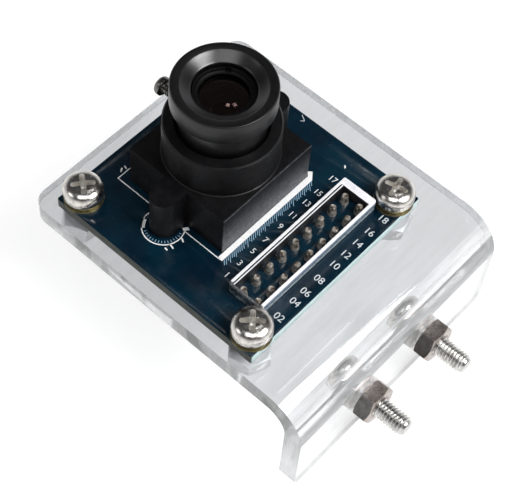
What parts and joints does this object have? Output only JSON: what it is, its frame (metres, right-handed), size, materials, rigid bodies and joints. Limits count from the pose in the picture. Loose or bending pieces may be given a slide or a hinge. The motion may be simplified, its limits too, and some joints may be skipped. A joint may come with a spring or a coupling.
{
  "type": "camera plate for pan and tilt head",
  "caption": "Clear acrylic L bracket carrying a small camera board with a screw-in lens, bolted through its leg to a pan and tilt head.",
  "frame": {"origin": "on the outer face of the bracket's leg, midway between its two screws", "axes": "+Z along the lens axis, away from the board; -Y out of the leg's outer face; +X along the pin header"},
  "size_m": [0.041, 0.056, 0.0396],
  "materials": {
    "clear_acrylic": "clear, polished faces",
    "board_laminate": "dark blue solder mask",
    "plated_steel": "nickel plated",
    "washer_steel": "yellowed plating",
    "black_plastic": "fine moulded texture",
    "black_aluminium": "black anodised",
    "lens_glass": "coated",
    "filter_glass": "clear",
    "ceramic": "matt",
    "tin_solder": "bright tin",
    "white_plastic": "translucent white"
  },
  "bodies": {
    "bracket_and_board": {"acrylic_bracket": "clear_acrylic", "camera_board": "board_laminate", "board_screw_1": "plated_steel", "board_screw_2": "plated_steel", "board_screw_3": "plated_steel", "board_screw_4": "plated_steel", "board_washer_1": "washer_steel", "board_washer_2": "washer_steel", "board_washer_3": "washer_steel", "board_washer_4": "washer_steel", "board_nut_1": "plated_steel", "board_nut_2": "plated_steel", "board_nut_3": "plated_steel", "board_nut_4": "plated_steel", "mount_screw_1": "plated_steel", "mount_screw_2": "plated_steel", "mount_nut_1": "plated_steel", "mount_nut_2": "plated_steel", "lens_holder": "black_plastic", "holder_screw_1": "plated_steel", "holder_screw_2": "plated_steel", "infrared_filter": "filter_glass", "image_sensor": "ceramic", "sensor_cover_glass": "filter_glass", "header_housing": "black_plastic", "header_frame": "white_plastic", "header_pin_01": "tin_solder", "header_pin_02": "tin_solder", "header_pin_03": "tin_solder", "header_pin_04": "tin_solder", "header_pin_05": "tin_solder", "header_pin_06": "tin_solder", "header_pin_07": "tin_solder", "header_pin_08": "tin_solder", "header_pin_09": "tin_solder", "header_pin_10": "tin_solder", "header_pin_11": "tin_solder", "header_pin_12": "tin_solder", "header_pin_13": "tin_solder", "header_pin_14": "tin_solder", "header_pin_15": "tin_solder", "header_pin_16": "tin_solder", "header_pin_17": "tin_solder", "header_pin_18": "tin_solder", "voltage_regulator_1": "black_plastic", "voltage_regulator_2": "black_plastic", "capacitor_1": "ceramic", "capacitor_2": "ceramic", "capacitor_3": "ceramic"},
    "lens_glass": {"front_element": "lens_glass", "middle_element": "lens_glass", "rear_element": "lens_glass"},
    "lens_barrel": {"lens_barrel": "black_aluminium", "front_retaining_ring": "black_aluminium", "rear_retaining_ring": "black_aluminium", "aperture_stop": "black_aluminium"},
    "lock_screw": {"lens_lock_screw": "plated_steel"}
  },
  "joints": [
    {"name": "focus_travel", "type": "slide", "parent": "bracket_and_board", "child": "lens_glass", "axis": [0, 0, 1], "range_m": [-0.0015, 0.002]},
    {"name": "focus_turn", "type": "hinge", "parent": "lens_glass", "child": "lens_barrel", "pos_m": [-0.0011, 0.0324, 0.013], "axis": [0, 0, 1], "range_deg": [-1085, 1445]},
    {"name": "lock_screw_turn", "type": "hinge", "parent": "bracket_and_board", "child": "lock_screw", "pos_m": [-0.0011, 0.0427, 0.0236], "axis": [0, 1, 0], "range_deg": [0, 1080]}
  ],
  "couplings": [
    {"joint": "focus_turn", "follows": "focus_travel", "rad_per_m": 12566}
  ]
}
